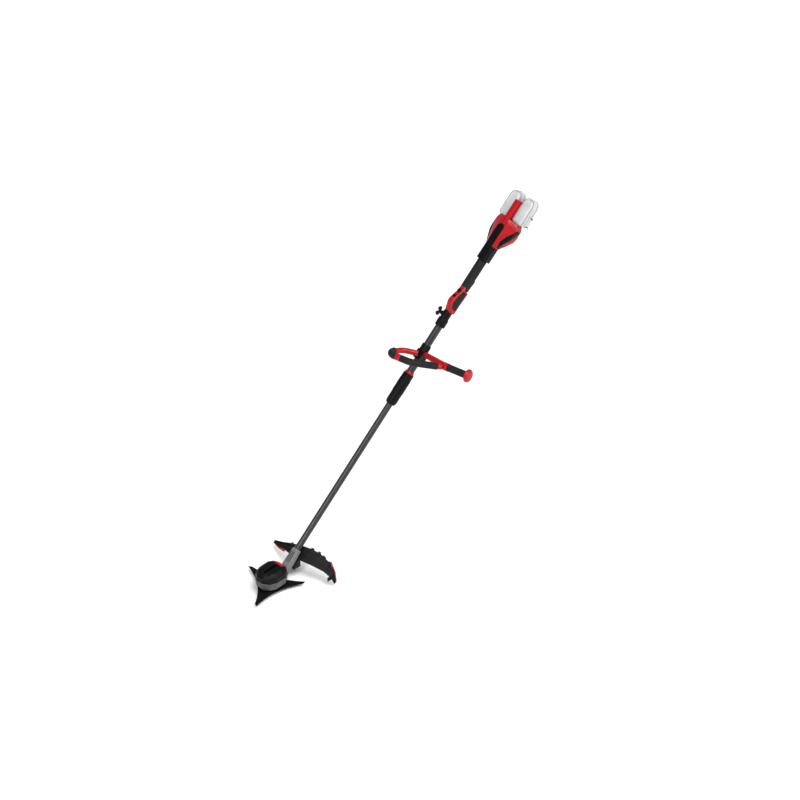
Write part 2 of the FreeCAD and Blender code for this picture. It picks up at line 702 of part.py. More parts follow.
def battery_housing_solid(inset=0.0):
    rows = ((collar_end, 15.0, 12.0, 25.0, 0.0, -34.0), (collar_end + 24.0, 16.0, 13.0, 37.0, -3.0, -47.0),
            (collar_end + 50.0, 17.0, 13.0, 50.0, -8.0, -57.0),
            (collar_end + 66.0, 17.0, 12.0, battery_half_width, -9.0, -59.0),
            (collar_end + 98.0, 15.0, 10.0, battery_half_width, -10.0, -59.0),
            (battery_face, 11.0, 8.0, battery_half_width - 6.0, -10.0, -54.0))
    wires = []
    for x, half_top, top, half_width, shoulder, bottom in rows:
        wires.append(battery_profile(x, half_top, top - inset, half_width - inset, shoulder - inset * 0.4,
                                     bottom + inset, 5.0))
    return loft(wires)


def build_battery_housing():
    shell = battery_housing_solid()
    cavity = battery_housing_solid(shell_wall)
    ends = block(collar_end + 4.0, battery_face - 3.0, -200, 200, -200, 200)
    shell = shell.cut(cavity.common(ends))
    core_room = rod(grip_core_radius + seat_gap, 1300.0, collar_end + 24.0, 0, -grip_drop)
    spine = spine_solid()
    panel_end = spine_root + 1.0
    panel = block(collar_end - 1.0, panel_end - panel_half_width, -panel_half_width, panel_half_width,
                  8.0, 30.0)
    panel = panel.fuse(post(panel_half_width, 8.0, 30.0, panel_end - panel_half_width)).removeSplitter()
    shell = shell.cut(core_room).cut(spine)
    panel_body = panel.common(battery_housing_solid())
    shell = shell.cut(panel)
    save_on_shaft("top_panel", biggest(panel_body.cut(core_room).cut(spine)))
    vents = []
    for side in (-1, 1):
        outline = [V(collar_end + x, 0, z) for x, z in vent_outline]
        slab = Part.Face(closed_wire(outline, 2.0)).extrude(V(0, side * 60.0, 0))
        slab = slab.common(battery_housing_solid()).cut(battery_housing_solid(1.4))
        vents.append(biggest(slab))
        shell = shell.cut(slab)
    save_on_shaft("side_vents", *vents)
    for side, name in ((-1, "battery_housing_left"), (1, "battery_housing_right")):
        save_on_shaft(name, biggest(half(shell, side)))
    save_on_shaft("battery_spine", spine)
    save_on_shaft("control_board", block(collar_end + 50.0, spine_root, -16.0, 16.0, -38.0, -34.0))

    collar = loft([section(grip_end + seat_gap, ((16.0, 12.5), (22.0, 4.0), (22.0, -22.0), (15.0, -29.0)),
                           5.0),
                   section(grip_end + 34.0, ((15.0, 12.5), (22.5, 4.0), (22.5, -23.0), (15.0, -31.0)), 5.0),
                   section(collar_end - seat_gap,
                           ((15.0, 12.0), (25.0, 0.0), (25.0, -20.0), (11.0, -34.0)), 5.0)])
    save_on_shaft("neck_collar",
                  collar.cut(rod(grip_core_radius + seat_gap, 1300.0, 1500.0, 0, -grip_drop)))


def spine_solid():
    """The plate between the packs, with a T-shaped rail on each side."""
    plate = block(spine_root, spine_end, -spine_half_width, spine_half_width, pack_bottom + 8.0, spine_top)
    for side in (-1, 1):
        y0, y1, y2 = (side * v for v in (spine_half_width - 1.0, spine_half_width + rail_reach - 2.5,
                                         spine_half_width + rail_reach))
        stem = block(battery_face, spine_end - 4.0, min(y0, y1), max(y0, y1), pack_middle - 6.0,
                     pack_middle + 6.0)
        head = block(battery_face, spine_end - 4.0, min(y1, y2), max(y1, y2), pack_middle - 10.0,
                     pack_middle + 10.0)
        plate = plate.fuse(stem).fuse(head)
    return plate.removeSplitter()


def build_packs():
    inner = spine_half_width + 0.5
    outer = inner + pack_thickness
    for side, word in ((-1, "left"), (1, "right")):
        def outline(x, inset):
            corners = ((inner + inset, pack_top - inset), (outer - inset, pack_top - inset - 4.0),
                       (outer - inset, pack_bottom + inset), (inner + inset, pack_bottom + inset))
            return closed_wire([V(x, side * y, z) for y, z in corners], pack_corner - min(inset, 6.0))
        pack_end = pack_start + pack_length
        case = loft([outline(pack_start, 4.0), outline(pack_start + 7.0, 0.0),
                     outline(pack_end - 24.0, 0.0),
                     outline(pack_end - 8.0, 5.0), outline(pack_end, 13.0)])
        cavity = loft([outline(pack_start + 5.0, 8.0), outline(pack_end - 10.0, 8.0),
                       outline(pack_end - 5.0, 14.0)])
        room = slide_gap + 0.1
        y_stem = sorted((side * (inner - 2.0), side * (spine_half_width + rail_reach - 2.5 + room)))
        y_head = sorted((side * (spine_half_width + rail_reach - 2.5 - room),
                         side * (spine_half_width + rail_reach + room)))
        stem = block(pack_start - 5.0, spine_end - 4.0 + room, y_stem[0], y_stem[1],
                     pack_middle - 6.0 - room, pack_middle + 6.0 + room)
        head = block(pack_start - 5.0, spine_end - 4.0 + room, y_head[0], y_head[1],
                     pack_middle - 10.0 - room, pack_middle + 10.0 + room)
        solid_core = block(pack_start - 5.0, spine_end + 2.0,
                           *sorted((0.0, side * (spine_half_width + rail_reach + 3.0))),
                           pack_middle - 13.0, pack_middle + 13.0)
        case = case.cut(cavity.cut(solid_core)).cut(stem).cut(head)
        latch_y = sorted((side * (outer - 4.0), side * (outer + 5.0)))
        latch = block(pack_start + 6.0, pack_start + 44.0, latch_y[0], latch_y[1], pack_bottom + 10.0,
                      pack_bottom + 26.0)
        recess_y = sorted((side * (outer - 4.0 - latch_travel - slide_gap), side * (outer + 9.0)))
        recess = block(pack_start + 6.0 - slide_gap, pack_start + 44.0 + slide_gap, recess_y[0],
                       recess_y[1],
                       pack_bottom + 10.0 - slide_gap, pack_bottom + 26.0 + slide_gap)
        case = case.cut(recess)
        save_on_shaft("battery_case_" + word, biggest(case))
        save_on_shaft("battery_latch_" + word, latch)
        cells = []
        for row in range(4):
            x = pack_start + 18.0 + 19.0 * row
            y = side * (spine_half_width + rail_reach + 19.0)
            cells.append(Part.makeCylinder(8.0, pack_top - pack_bottom - 20.0, V(x, y, pack_bottom + 8.5)))
        save_on_shaft("battery_cells_" + word, *cells)


# ---------------------------------------------------------------- fasteners

def build_fasteners():
    screws = [post(2.6, cover_z + 3.0, cover_z + 5.0, x, y) for x, y in screw_places()]
    save("head_screws", *screws)


build_cutter()
build_head()
build_neck()
build_guard()
build_shaft()
build_loop()
build_coupler()
build_trigger_group()
build_battery_housing()
build_packs()
build_fasteners()
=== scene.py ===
import json
import math

import bmesh
import bpy
from mathutils import Matrix, Vector

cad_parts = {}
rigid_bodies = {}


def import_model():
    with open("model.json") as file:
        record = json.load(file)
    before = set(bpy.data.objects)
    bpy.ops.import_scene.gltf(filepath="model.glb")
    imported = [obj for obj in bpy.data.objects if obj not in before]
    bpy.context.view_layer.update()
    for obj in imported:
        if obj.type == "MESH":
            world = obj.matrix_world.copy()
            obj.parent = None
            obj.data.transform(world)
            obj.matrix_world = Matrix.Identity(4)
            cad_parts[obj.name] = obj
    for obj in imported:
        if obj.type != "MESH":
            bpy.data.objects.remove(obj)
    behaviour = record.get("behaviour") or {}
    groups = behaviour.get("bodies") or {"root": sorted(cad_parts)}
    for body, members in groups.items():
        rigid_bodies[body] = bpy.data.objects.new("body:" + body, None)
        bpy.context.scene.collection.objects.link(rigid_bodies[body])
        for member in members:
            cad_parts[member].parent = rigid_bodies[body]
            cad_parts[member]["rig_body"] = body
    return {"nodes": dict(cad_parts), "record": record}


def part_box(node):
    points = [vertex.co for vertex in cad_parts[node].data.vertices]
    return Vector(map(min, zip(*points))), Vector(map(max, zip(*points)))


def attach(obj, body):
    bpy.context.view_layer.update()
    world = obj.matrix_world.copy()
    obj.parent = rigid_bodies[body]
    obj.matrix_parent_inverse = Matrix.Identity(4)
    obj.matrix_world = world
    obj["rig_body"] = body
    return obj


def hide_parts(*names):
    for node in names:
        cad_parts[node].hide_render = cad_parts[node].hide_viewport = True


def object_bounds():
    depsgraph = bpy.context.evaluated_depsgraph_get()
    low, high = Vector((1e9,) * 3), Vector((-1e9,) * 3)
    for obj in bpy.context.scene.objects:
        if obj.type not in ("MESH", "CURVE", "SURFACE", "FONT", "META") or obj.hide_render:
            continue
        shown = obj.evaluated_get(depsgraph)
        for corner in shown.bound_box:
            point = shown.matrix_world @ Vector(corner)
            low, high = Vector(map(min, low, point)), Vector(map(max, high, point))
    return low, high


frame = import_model()
cad_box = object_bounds()
NODES = frame["nodes"]

# ------------------------------------------------------------------ places on the slanted shaft
SHAFT_ANGLE = math.radians(42.0)
ALONG = Vector((math.cos(SHAFT_ANGLE), 0.0, math.sin(SHAFT_ANGLE)))
ABOVE = Vector((-math.sin(SHAFT_ANGLE), 0.0, math.cos(SHAFT_ANGLE)))
SIDE = Vector((0.0, 1.0, 0.0))
SHAFT_FOOT = Vector((0.038, 0.0, 0.016))


def on_shaft(u, y, n):
    """A point given in millimetres along the shaft, to its side and above it, in metres."""
    return SHAFT_FOOT + ALONG * (u / 1000.0) + SIDE * (y / 1000.0) + ABOVE * (n / 1000.0)


# ------------------------------------------------------------------ materials
class Nodes:
    """Short names for the few shader nodes every material here uses."""

    def __init__(self, name):
        self.material = bpy.data.materials.new(name)
        self.material.use_nodes = True
        self.tree = self.material.node_tree
        self.shader = self.tree.nodes["Principled BSDF"]
        self.coords = self.tree.nodes.new("ShaderNodeTexCoord").outputs["Object"]

    def link(self, source, target):
        self.tree.links.new(source, target)

    def noise(self, scale, detail=3.0, roughness=0.55, stretch=None):
        node = self.tree.nodes.new("ShaderNodeTexNoise")
        node.inputs["Scale"].default_value = scale
        node.inputs["Detail"].default_value = detail
        node.inputs["Roughness"].default_value = roughness
        source = self.coords
        if stretch is not None:
            mapping = self.tree.nodes.new("ShaderNodeMapping")
            mapping.inputs["Rotation"].default_value = stretch[0]
            mapping.inputs["Scale"].default_value = stretch[1]
            self.link(self.coords, mapping.inputs["Vector"])
            source = mapping.outputs["Vector"]
        self.link(source, node.inputs["Vector"])
        return node.outputs["Fac"]

    def ramp(self, value, stops):
        node = self.tree.nodes.new("ShaderNodeValToRGB")
        elements = node.color_ramp.elements
        elements[0].position, elements[0].color = stops[0][0], stops[0][1]
        elements[1].position, elements[1].color = stops[-1][0], stops[-1][1]
        for position, color in stops[1:-1]:
            element = elements.new(position)
            element.color = color
        self.link(value, node.inputs["Fac"])
        return node.outputs["Color"]

    def range(self, value, low, high):
        node = self.tree.nodes.new("ShaderNodeMapRange")
        node.inputs["To Min"].default_value = low
        node.inputs["To Max"].default_value = high
        self.link(value, node.inputs["Value"])
        return node.outputs["Result"]

    def mix(self, factor, first, second):
        node = self.tree.nodes.new("ShaderNodeMix")
        node.data_type = "RGBA"
        self.link(factor, node.inputs["Factor"])
        for socket, value in ((node.inputs["A"], first), (node.inputs["B"], second)):
            if isinstance(value, tuple):
                socket.default_value = value
            else:
                self.link(value, socket)
        return node.outputs["Result"]

    def bump(self, height, strength, distance):
        node = self.tree.nodes.new("ShaderNodeBump")
        node.inputs["Strength"].default_value = strength
        node.inputs["Distance"].default_value = distance
        self.link(height, node.inputs["Height"])
        self.link(node.outputs["Normal"], self.shader.inputs["Normal"])

    def edges(self, radius=0.0012):
        """0 on flat ground and 1 where the surface turns sharply, within the radius in metres."""
        rounded = self.tree.nodes.new("ShaderNodeBevel")
        rounded.samples = 6
        rounded.inputs["Radius"].default_value = radius
        plain = self.tree.nodes.new("ShaderNodeNewGeometry")
        turn = self.tree.nodes.new("ShaderNodeVectorMath")
        turn.operation = "DOT_PRODUCT"
        self.link(rounded.outputs["Normal"], turn.inputs[0])
        self.link(plain.outputs["Normal"], turn.inputs[1])
        remap = self.tree.nodes.new("ShaderNodeMapRange")
        remap.inputs["From Min"].default_value = 0.99
        remap.inputs["From Max"].default_value = 0.86
        self.link(turn.outputs["Value"], remap.inputs["Value"])
        return remap.outputs["Result"]


def rgba(color, factor=1.0):
    return tuple(channel * factor for channel in color) + (1.0,)


def moulded(name, color, roughness, grain, depth, variation=0.14, worn=0.25, coat=0.0, sheen=0.0,
            specular=0.35):
    """Moulded plastic or rubber: fine grain, slow colour drift and paler worn edges."""
    n = Nodes(name)
    drift = n.noise(9.0, 4.0)
    base = n.ramp(drift, ((0.3, rgba(color, 1.0 - variation)), (0.7, rgba(color, 1.0 + variation))))
    pale = tuple(c + (0.55 - c) * worn for c in color)
    scuffs = n.noise(140.0, 5.0, 0.7)
    edge = n.tree.nodes.new("ShaderNodeMath")
    edge.operation = "MULTIPLY"
    n.link(n.edges(), edge.inputs[0])
    n.link(scuffs, edge.inputs[1])
    n.link(n.mix(edge.outputs[0], base, rgba(pale)), n.shader.inputs["Base Color"])
    n.link(n.range(n.noise(60.0, 4.0), roughness - 0.07, roughness + 0.07), n.shader.inputs["Roughness"])
    n.bump(n.noise(grain, 2.0), 0.35, depth)
    n.shader.inputs["Specular IOR Level"].default_value = specular
    n.shader.inputs["Coat Weight"].default_value = coat
    n.shader.inputs["Coat Roughness"].default_value = 0.18
    n.shader.inputs["Sheen Weight"].default_value = sheen
    return n.material


def brushed(name, color, roughness, direction, metallic=1.0):
    """Turned, drawn or ground metal, with streaks along one direction."""
    n = Nodes(name)
    streaks = n.noise(240.0, 4.0, 0.6, direction)
    base = n.ramp(streaks, ((0.3, rgba(color, 0.8)), (0.7, rgba(color, 1.2))))
    n.link(base, n.shader.inputs["Base Color"])
    n.link(n.range(streaks, roughness - 0.08, roughness + 0.10), n.shader.inputs["Roughness"])
    n.bump(streaks, 0.12, 0.0002)
    n.shader.inputs["Metallic"].default_value = metallic
    return n.material


def coated_blade(name):
    """Black coating, rubbed to bare steel along the cutting edges."""
    n = Nodes(name)
    mottled = n.noise(45.0, 6.0, 0.65)
    base = n.ramp(mottled, ((0.35, (0.003, 0.003, 0.003, 1.0)), (0.75, (0.008, 0.008, 0.009, 1.0))))
    n.link(n.mix(n.edges(0.0006), base, (0.10, 0.10, 0.105, 1.0)), n.shader.inputs["Base Color"])
    n.link(n.range(mottled, 0.45, 0.62), n.shader.inputs["Roughness"])
    n.bump(n.noise(700.0, 2.0), 0.15, 0.0002)
    n.shader.inputs["Specular IOR Level"].default_value = 0.06
    return n.material


def pale_pack(name):
    """Pale, slightly see-through plastic with painted shade along its rims: darker grey where the surface
    turns.
    """
    n = Nodes(name)
    cloudy = n.noise(24.0, 4.0)
    base = n.ramp(cloudy, ((0.3, (0.60, 0.61, 0.62, 1.0)), (0.7, (0.74, 0.75, 0.76, 1.0))))
    # painted shade: wherever the surface turns, the colour is mixed towards a dark grey rim that stands in
    # for the packs' dark outline
    n.link(n.mix(n.edges(0.004), base, (0.26, 0.27, 0.28, 1.0)), n.shader.inputs["Base Color"])
    n.link(n.range(n.noise(70.0, 3.0), 0.30, 0.42), n.shader.inputs["Roughness"])
    n.bump(n.noise(500.0, 2.0), 0.1, 0.0002)
    n.shader.inputs["Alpha"].default_value = 0.62
    return n.material


ALONG_SHAFT = ((0.0, SHAFT_ANGLE, 0.0), (0.02, 1.0, 1.0))
ROUND_Z = ((0.0, 0.0, 0.0), (0.25, 0.25, 2.0))

MATERIALS = {
    "red_plastic": moulded("red_plastic", (0.36, 0.003, 0.006), 0.36, 900.0, 0.00010, 0.12, 0.20, coat=0.18,
                           specular=0.22),
    "black_plastic": moulded("black_plastic", (0.0038, 0.0038, 0.0042), 0.46, 1100.0, 0.00016, 0.30, 0.08,
                             specular=0.11),
    "grey_plastic": moulded("grey_plastic", (0.068, 0.068, 0.071), 0.50, 1100.0, 0.00014, 0.12, 0.18,
                            specular=0.25),
    "rubber": moulded("rubber", (0.011, 0.0115, 0.012), 0.64, 800.0, 0.00022, 0.25, 0.05, sheen=0.04,
                      specular=0.14),
    "tube_aluminium": brushed("tube_aluminium", (0.055, 0.055, 0.058), 0.34, ALONG_SHAFT, 0.7),
    "blade_steel": coated_blade("blade_steel"),
    "steel": brushed("steel", (0.50, 0.50, 0.51), 0.32, ROUND_Z),
    "cup_steel": brushed("cup_steel", (0.26, 0.26, 0.27), 0.36, ROUND_Z),
    "pack_plastic": pale_pack("pack_plastic"),
    "cell_steel": brushed("cell_steel", (0.5, 0.52, 0.55), 0.35, ROUND_Z),
    "board": moulded("board", (0.02, 0.14, 0.05), 0.4, 600.0, 0.0001),
}
DEEP_BLACK = moulded("deep_black", (0.0015, 0.0015, 0.0016), 0.5, 500.0, 0.00004, 0.3, 0.02, specular=0.02)
# painted highlight: a paler copy of the grey plastic, given to the neck so that its top reads light
NECK_PAINTED_LIGHT_GREY = moulded("neck_painted_light_grey", (0.15, 0.15, 0.154), 0.46, 1100.0, 0.00014, 0.10, 0.15, specular=0.25)
PACK_RIM = moulded("pack_rim", (0.20, 0.205, 0.21), 0.42, 900.0, 0.0001, 0.10, 0.10, specular=0.3)
for entry in frame["record"]["subparts"]:
    obj = NODES[entry["node"]]
    obj.data.materials.clear()
    obj.data.materials.append(MATERIALS[entry["material_slot"]])


# ------------------------------------------------------------------ making pieces
SHADING_CREASE = math.radians(32.0)
ROUNDED_CREASE = math.radians(30.0)
SAME_POINT = 2e-6            # metres
REACH_TOLERANCE = 2e-4       # how far a rounded piece may pass its CAD box, in metres
VOLUME_TOLERANCE = 0.08


def finish_mesh(bm, name, material, body, slot, replaces=()):
    """Turns a bmesh into a piece that rides on a body, smooth apart from its sharp edges."""
    bmesh.ops.recalc_face_normals(bm, faces=bm.faces)
    for face in bm.faces:
        face.smooth = True
    for edge in bm.edges:
        edge.smooth = not (edge.is_manifold and edge.calc_face_angle(0.0) > SHADING_CREASE)
    mesh = bpy.data.meshes.new(name)
    bm.to_mesh(mesh)
    bm.free()
    mesh.materials.append(material)
    piece = bpy.data.objects.new(name, mesh)
    bpy.context.scene.collection.objects.link(piece)
    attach(piece, body)
    if replaces:
        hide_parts(*replaces)
    return piece


SLOT_OF = {entry["node"]: entry["material_slot"] for entry in frame["record"]["subparts"]}


def sharp_edges(bm):
    return [e for e in bm.edges if e.is_manifold and e.calc_face_angle(0.0) > ROUNDED_CREASE]


def reach_of(bm):
    """The box of the mesh as three least and three negated greatest coordinates."""
    points = [vert.co for vert in bm.verts]
    return [min(p[i] for p in points) for i in range(3)] + [-max(p[i] for p in points) for i in range(3)]


def softened(node, width, material=None):
    """The CAD piece with its sharp edges rounded over by a width in millimetres."""
    for attempt in range(4):
        bm = bmesh.new()
        bm.from_mesh(NODES[node].data)
        bmesh.ops.remove_doubles(bm, verts=bm.verts, dist=SAME_POINT)
        bmesh.ops.dissolve_limit(bm, angle_limit=math.radians(1.0), verts=bm.verts, edges=bm.edges)
        before = reach_of(bm)
        volume = abs(bm.calc_volume())
        bmesh.ops.bevel(bm, geom=sharp_edges(bm), offset=width / 1000.0, segments=2, profile=0.5,
                        affect="EDGES", clamp_overlap=True, miter_outer="ARC")
        after = reach_of(bm)
        kept = all(new > old - REACH_TOLERANCE for new, old in zip(after, before))
        if kept and abs(abs(bm.calc_volume()) - volume) < VOLUME_TOLERANCE * volume:
            break
        bm.free()
        width *= 0.5
    else:
        return None
    slot = SLOT_OF[node]
    return finish_mesh(bm, node + "_moulding", material or MATERIALS[slot], NODES[node]["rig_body"], slot,
                       (node,))


def frame_of(axis):
    axis = axis.normalized()
    across = axis.orthogonal().normalized()
    return axis, across, axis.cross(across)


def turned(bm, start, axis, outline, count=48):
    """Adds a turned ring to bm: outline is a closed list of (distance, radius) in millimetres."""
    axis, across, other = frame_of(axis)
    rings = []
    for distance, radius in outline:
        ring = []
        for step in range(count):
            angle = 2.0 * math.pi * step / count
            reach = radius / 1000.0
            ring.append(bm.verts.new(start + axis * (distance / 1000.0)
                                     + (across * math.cos(angle) + other * math.sin(angle)) * reach))
        rings.append(ring)
    for first, second in zip(rings, rings[1:] + rings[:1]):
        for step in range(count):
            after = (step + 1) % count
            bm.faces.new((first[step], first[after], second[after], second[step]))


def lofted(bm, rings):
    """Adds a closed skin through rings of points, with a flat cap at each end."""
    loops = [[bm.verts.new(point) for point in ring] for ring in rings]
    count = len(loops[0])
    for first, second in zip(loops, loops[1:]):
        for step in range(count):
            after = (step + 1) % count
            bm.faces.new((first[step], first[after], second[after], second[step]))
    bm.faces.new(loops[0])
    bm.faces.new(list(reversed(loops[-1])))


def round_edges(bm, width):
    """Rounds the sharp edges over by a width in millimetres."""
    bmesh.ops.bevel(bm, geom=sharp_edges(bm), offset=width / 1000.0, segments=2, profile=0.5, affect="EDGES",
                    clamp_overlap=True)


def slab(bm, corners, thickness):
    """A flat plate on the given corners, thickened along their normal, in millimetres."""
    normal = (corners[1] - corners[0]).cross(corners[2] - corners[0]).normalized() * (thickness / 1000.0)
    lofted(bm, [corners, [corner + normal for corner in corners]])


# ------------------------------------------------------------------ rounded versions of the CAD pieces
SOFT_EDGES = (
    ("motor_housing", 1.6), ("motor_cover", 2.2), ("cover_clip", 1.0), ("neck_left", 1.4),
    ("neck_right", 1.4), ("guard", 0.9), ("guard_trims", 0.8), ("line_cutter", 0.2), ("glide_cup", 1.0),
    ("blade_nut", 0.5), ("twist_sleeve", 1.2), ("lock_ring", 0.8), ("clamp_base", 1.6),
    ("clamp_cap", 1.6), ("clamp_screws", 0.6), ("loop_hub", 0.8), ("loop_grips", 0.8),
    ("loop_frame", 0.5), ("coupler_sleeve", 1.0), ("coupler_body", 0.8), ("trigger_housing_left", 1.4),
    ("trigger_housing_right", 1.4), ("grip_inlays", 0.5), ("trigger", 1.0), ("lockout_button", 1.2),
    ("speed_button", 1.0), ("rear_grip", 1.0), ("battery_housing_left", 1.6),
    ("battery_housing_right", 1.6), ("top_panel", 1.2), ("side_vents", 0.5), ("battery_spine", 1.0),
    ("battery_case_left", 2.4), ("battery_case_right", 2.4), ("battery_latch_left", 0.8),
    ("battery_latch_right", 0.8), ("blade", 0.25), ("head_screws", 0.3))
# The neck pieces get the paler grey, a painted highlight for the light on the neck's top.
PAINTED_LIGHT_MATERIAL = {"neck_left": NECK_PAINTED_LIGHT_GREY, "neck_right": NECK_PAINTED_LIGHT_GREY}
for node, width in SOFT_EDGES:
    if softened(node, width, material=PAINTED_LIGHT_MATERIAL.get(node)) is None:
        print("left as it is:", node)


# ------------------------------------------------------------------ head: cover badge place, screws, painted shade in the neck's slots
def disc_screw(bm, centre, axis, radius, height):
    """A domed screw head with a round socket."""
    socket = height * 0.2
    turned(bm, centre, axis, [(0.0, 0.02), (0.0, radius), (height * 0.6, radius), (height, radius * 0.72),
                              (height, radius * 0.42), (socket, radius * 0.38), (socket, 0.02)], 24)


def build_head_details():
    """The black place in the cover's recess, the cover's screws, and black slabs of painted shade on the
    floors of the neck's slots.
    """
    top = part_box("motor_cover")[1].z
    up = Vector((0.0, 0.0, 1.0))
    bm = bmesh.new()
    outline = []
    for step in range(24):
        angle = 2.0 * math.pi * step / 24
        side = 0.0272 if math.cos(angle) > 0 else -0.0252
        outline.append(Vector((side + 0.0064 * math.cos(angle), 0.0064 * math.sin(angle), top - 0.0014)))
    lofted(bm, [outline, [point + up * 0.0013 for point in outline]])
    round_edges(bm, 0.3)
    finish_mesh(bm, "cover_badge_place", DEEP_BLACK, "lower_shaft", "black_plastic")

    bm = bmesh.new()
    for x, y in ((-0.027, -0.022), (0.028, -0.024), (-0.027, 0.022), (0.028, 0.024)):
        disc_screw(bm, Vector((x, y, top - 0.0006)), up, 2.8, 1.4)
    finish_mesh(bm, "cover_screws", DEEP_BLACK, "lower_shaft", "steel")

    # painted shade: deep black slabs on the neck's slot floors stand in for the shade inside the slots
    bm = bmesh.new()
    for y in (-7.5, 0.0, 7.5):
        low, high = y - 1.4, y + 1.4
        slab(bm, [on_shaft(74.4, low, 12.2), on_shaft(117.6, low, 12.2), on_shaft(117.6, high, 12.2),
                  on_shaft(74.4, high, 12.2)], 1.2)
    round_edges(bm, 0.2)
    finish_mesh(bm, "neck_slots_painted_shade", DEEP_BLACK, "lower_shaft", "black_plastic")


# ------------------------------------------------------------------ guard: ribs and edge bumps
GUARD_STATIONS = (
    (156.0, (167.0, 6.0), (174.0, 12.0)), (112.0, (154.0, 16.0), (172.0, 31.0)),
    (72.0, (142.0, 36.0), (170.0, 53.0)), (30.0, (128.0, 50.0), (164.0, 76.0)),
    (0.0, (126.0, 53.0), (165.0, 86.0)), (-30.0, (130.0, 53.0), (177.0, 84.0)),
    (-65.0, (142.0, 49.0), (189.0, 76.0)), (-110.0, (160.0, 36.0), (194.0, 57.0)),
    (-138.0, (167.0, 22.0), (190.0, 30.0)), (-156.0, (170.0, 0.0), (180.0, 6.0)))


def guard_edges(y):
    """The front and rear edge of the guard at a distance from the middle plane, in metres."""
    for (y0, front0, back0), (y1, front1, back1) in zip(GUARD_STATIONS, GUARD_STATIONS[1:]):
        if y1 <= y <= y0:
            share = (y0 - y) / (y0 - y1)
            front = [a + (b - a) * share for a, b in zip(front0, front1)]
            back = [a + (b - a) * share for a, b in zip(back0, back1)]
            return (Vector((front[0], y, 16.0 + front[1])) / 1000.0,
                    Vector((back[0], y, 16.0 + back[1])) / 1000.0)
    return None


def guard_point(y, share, lift):
    front, back = guard_edges(y)
    across = back - front
    normal = Vector((-across.z, 0.0, across.x)).normalized()
    return front + across * share + normal * (lift / 1000.0)


def guard_rib(bm, path, half_width, height):
    """A low rib on the guard: path gives its middle as y and share, and how wide it is in each."""
    rings = []
    for y, share, wide_y, wide_share in path:
        y0, y1 = y - wide_y * half_width, y + wide_y * half_width
        s0, s1 = share - wide_share * half_width, share + wide_share * half_width
        rings.append([guard_point(y0, s0, -0.8), guard_point(y1, s1, -0.8), guard_point(y1, s1, height),
                      guard_point(y0, s0, height)])
    lofted(bm, rings)


def build_guard_details():
    bm = bmesh.new()
    for y in range(-146, 150, 12):
        if abs(y) < 26:
            continue
        guard_rib(bm, [(y, share / 10.0, 1.0, 0.0) for share in range(1, 10, 2)], 1.1, 2.0)
    for share in (0.12, 0.5, 0.88):
        for side in ((-150, -26), (26, 150)):
            steps = range(side[0], side[1] + 1, 4)
            guard_rib(bm, [(y, share, 0.0, 0.03) for y in steps], 1.0, 2.6)
    round_edges(bm, 0.35)
    finish_mesh(bm, "guard_ribs", MATERIALS["black_plastic"], "lower_shaft", "black_plastic")
    bm = bmesh.new()
    for y, size in ((58, 4.5), (-36, 5.0), (-62, 4.0), (-84, 5.5), (-112, 5.0), (-132, 5.5)):
        guard_rib(bm, [(y, share, 1.0, 0.0) for share in (0.80, 0.94, 1.08)], size, 3.4)
    round_edges(bm, 1.2)
    finish_mesh(bm, "guard_edge_bumps", MATERIALS["black_plastic"], "lower_shaft", "black_plastic")


# ------------------------------------------------------------------ shaft: ribs on the twist sleeve
SLEEVE_RADIUS = 20.5
SLEEVE_RIBS = 18


def build_sleeve_ribs():
    bm = bmesh.new()
    for step in range(SLEEVE_RIBS):
        angle = 2.0 * math.pi * (step + 0.5) / SLEEVE_RIBS
        outward = (math.cos(angle), math.sin(angle))
        sideways = (-math.sin(angle), math.cos(angle))
        rings = []
        for u, lift in ((800.0, -0.6), (803.0, 0.7), (858.0, 0.7), (861.0, -0.6)):
            ring = []
            for shift, depth in ((-1.5, -1.2), (1.5, -1.2), (1.1, lift), (-1.1, lift)):
                reach = SLEEVE_RADIUS + depth
                ring.append(on_shaft(u, outward[0] * reach + sideways[0] * shift, outward[1] * reach
                                     + sideways[1] * shift))
            rings.append(ring)
        lofted(bm, rings)
    finish_mesh(bm, "twist_sleeve_ribs", MATERIALS["black_plastic"], "twist_lock", "black_plastic")


# ------------------------------------------------------------------ barrier bar: ribbed grip and domed cap
def shaft_direction(u, y, n):
    return ALONG * u + SIDE * y + ABOVE * n


BAR_GRIP_LENGTH = 88.0


def build_bar():
    sweep = math.radians(10.0)
    outwards = shaft_direction(math.sin(sweep), -math.cos(sweep), 0.0)
    start = on_shaft(975.8, -108.0, -5.3) + outwards * 0.018
    outline = [(0.0, 9.1), (0.0, 13.0), (0.8, 14.0), (4.0, 14.0)]
    position = 5.0
    while position < 82.0:
        outline += [(position, 12.7), (position + 1.6, 12.7), (position + 2.2, 13.8), (position + 4.6, 13.8)]
        position += 5.2
    outline += [(83.6, 14.0), (87.2, 14.0), (BAR_GRIP_LENGTH, 13.2), (BAR_GRIP_LENGTH, 9.1)]
    bm = bmesh.new()
    turned(bm, start, outwards, outline)
    finish_mesh(bm, "bar_grip_ribbed", MATERIALS["rubber"], "loop_handle", "rubber", ("bar_grip",))

    bm = bmesh.new()
    end = start + outwards * (BAR_GRIP_LENGTH / 1000.0)
    turned(bm, end, outwards, [(0.0, 9.1), (0.0, 23.8), (0.5, 24.7), (1.6, 25.0), (4.4, 25.0), (6.6, 24.2),
                               (8.6, 22.0), (10.0, 19.0), (10.8, 16.4), (10.3, 15.8), (10.3, 15.0),
                               (11.1, 14.4), (11.7, 9.0),
                               (12.0, 3.0), (12.0, 0.02), (4.9, 0.02), (4.9, 9.1)], 64)
    finish_mesh(bm, "bar_cap_domed", MATERIALS["red_plastic"], "loop_handle", "red_plastic", ("bar_cap",))


